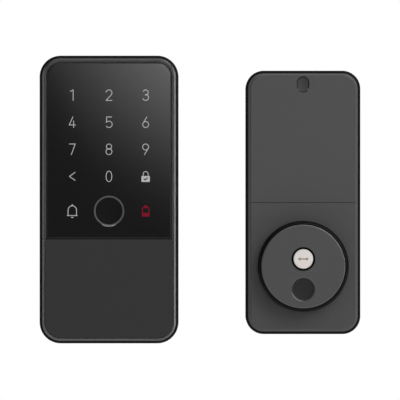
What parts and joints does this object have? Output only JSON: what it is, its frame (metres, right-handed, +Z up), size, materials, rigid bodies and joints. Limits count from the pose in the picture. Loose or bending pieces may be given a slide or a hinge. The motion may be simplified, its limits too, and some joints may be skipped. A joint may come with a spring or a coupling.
{
  "type": "keypad smart lock",
  "caption": "Door lock in two units: a flat keypad unit with fingerprint sensor and hidden key cylinder, and a battery-powered knob unit that turns the lock's spindle.",
  "frame": {"origin": "where the keypad unit's spindle axis meets the door's surface; the knob unit stands 101 mm to its right, against the same plane", "axes": "+X to the right as seen from the front, +Z up, +Y from the units' faces into the door"},
  "size_m": [0.1671, 0.099, 0.1499],
  "materials": {
    "black_plastic": "black, low sheen",
    "dark_frame": "dark coated metal, bright edge",
    "black_glass": "glossy black tempered glass",
    "white_print": "lit white legend",
    "red_print": "lit red legend",
    "ring_metal": "dark satin ring",
    "sensor_coat": "black sensor coating",
    "circuit_board": "green solder resist",
    "chip_resin": "black epoxy",
    "inner_plastic": "black moulded plastic",
    "charcoal_coat": "charcoal satin coating",
    "graphite_coat": "graphite satin coating",
    "dark_tab": "dark grey moulded plastic",
    "dimple_coat": "dark satin coating",
    "champagne_metal": "champagne satin",
    "nickel": "nickel plated",
    "screw_steel": "plated steel",
    "plug_brass": "machined brass",
    "zinc_plate": "zinc plated sheet",
    "rubber": "black rubber",
    "foam": "dark closed-cell foam",
    "cell_wrap": "green and black printed sleeve",
    "white_plastic": "white moulded plastic",
    "ivory_plastic": "ivory connector plastic",
    "gear_plastic": "natural acetal",
    "motor_can": "drawn steel can"
  },
  "bodies": {
    "case": {"keypad_housing": "black_plastic", "keypad_frame": "dark_frame", "glass_panel": "black_glass", "key_legends": "white_print", "battery_warning": "red_print", "fingerprint_ring": "ring_metal", "fingerprint_sensor": "sensor_coat", "touch_board": "circuit_board", "main_board": "circuit_board", "main_board_chips": "chip_resin", "buzzer": "inner_plastic", "deck_magnets": "nickel", "cylinder_body": "nickel", "driver_pins": "screw_steel", "pin_springs": "screw_steel", "usb_port": "nickel", "usb_board": "circuit_board", "back_plate": "zinc_plate", "keypad_unit_screws": "screw_steel", "bolt_posts": "nickel", "cable_grommet": "rubber", "door_gasket": "foam", "centring_disc": "inner_plastic", "knob_housing": "black_plastic", "lower_panel": "graphite_coat", "tab_spring": "screw_steel", "battery_tray": "inner_plastic", "battery_cells": "cell_wrap", "battery_contacts": "nickel", "control_board": "circuit_board", "control_board_chips": "chip_resin", "cable_socket": "ivory_plastic", "shaft_bush": "plug_brass", "gear_axle": "screw_steel", "motor": "motor_can", "gearbox_plate": "inner_plastic", "inner_cover": "inner_plastic", "mounting_plate": "zinc_plate", "knob_unit_screws": "screw_steel", "door_bolts": "screw_steel"},
    "keyhole_cover": {"keyhole_cover": "charcoal_coat", "cover_magnets": "nickel"},
    "key_core": {"key_plug": "plug_brass", "key_pins": "plug_brass", "plug_cap": "nickel", "spindle": "screw_steel"},
    "knob": {"knob_body": "black_plastic", "knob_face": "graphite_coat", "finger_dimple": "dimple_coat", "button_cup": "inner_plastic", "button_spring": "screw_steel", "knob_shaft": "screw_steel", "output_gear": "gear_plastic"},
    "privacy_button": {"privacy_button": "champagne_metal"},
    "battery_cover": {"battery_cover": "graphite_coat", "tab_pin": "screw_steel"},
    "release_tab": {"release_tab": "dark_tab"},
    "double_gear": {"double_gear": "gear_plastic"},
    "motor_pinion": {"motor_pinion": "plug_brass"},
    "set_button": {"set_button": "white_plastic"}
  },
  "joints": [
    {"name": "knob_turn", "type": "hinge", "parent": "case", "child": "knob", "pos_m": [0.101, -0.035, 0], "axis": [0, 1, 0], "range_deg": [-90, 90]},
    {"name": "double_gear_turn", "type": "hinge", "parent": "case", "child": "double_gear", "pos_m": [0.08545, -0.02, -0.01667], "axis": [0, 1, 0], "range_deg": [-340, 340]},
    {"name": "motor_turn", "type": "hinge", "parent": "case", "child": "motor_pinion", "pos_m": [0.09535, -0.02, -0.02657], "axis": [0, 1, 0], "range_deg": [-1240, 1240]},
    {"name": "privacy_button_press", "type": "slide", "parent": "knob", "child": "privacy_button", "axis": [0, 1, 0], "range_m": [0, 0.0012], "stiffness_N_per_m": 500, "springref_m": -0.001, "deforming": ["button_spring"]},
    {"name": "battery_cover_lift", "type": "slide", "parent": "case", "child": "battery_cover", "axis": [0, -1, 0], "range_m": [0, 0.04]},
    {"name": "release_tab_press", "type": "hinge", "parent": "battery_cover", "child": "release_tab", "pos_m": [0.101, -0.0257, 0.092], "axis": [-1, 0, 0], "range_deg": [0, 8], "stiffness_Nm_per_rad": 0.02, "springref_deg": -8.59, "deforming": ["tab_spring"]},
    {"name": "set_button_press", "type": "slide", "parent": "case", "child": "set_button", "axis": [0, 1, 0], "range_m": [0, 0.0005], "stiffness_N_per_m": 400, "springref_m": -0.0005},
    {"name": "keyhole_cover_pull", "type": "slide", "parent": "case", "child": "keyhole_cover", "axis": [0, -1, 0], "range_m": [0, 0.03]},
    {"name": "key_turn", "type": "hinge", "parent": "case", "child": "key_core", "pos_m": [0, 0, 0], "axis": [0, 1, 0], "range_deg": [-90, 90]}
  ],
  "couplings": [
    {"joint": "double_gear_turn", "follows": "knob_turn", "ratio": -3.75},
    {"joint": "motor_turn", "follows": "knob_turn", "ratio": 13.75}
  ]
}
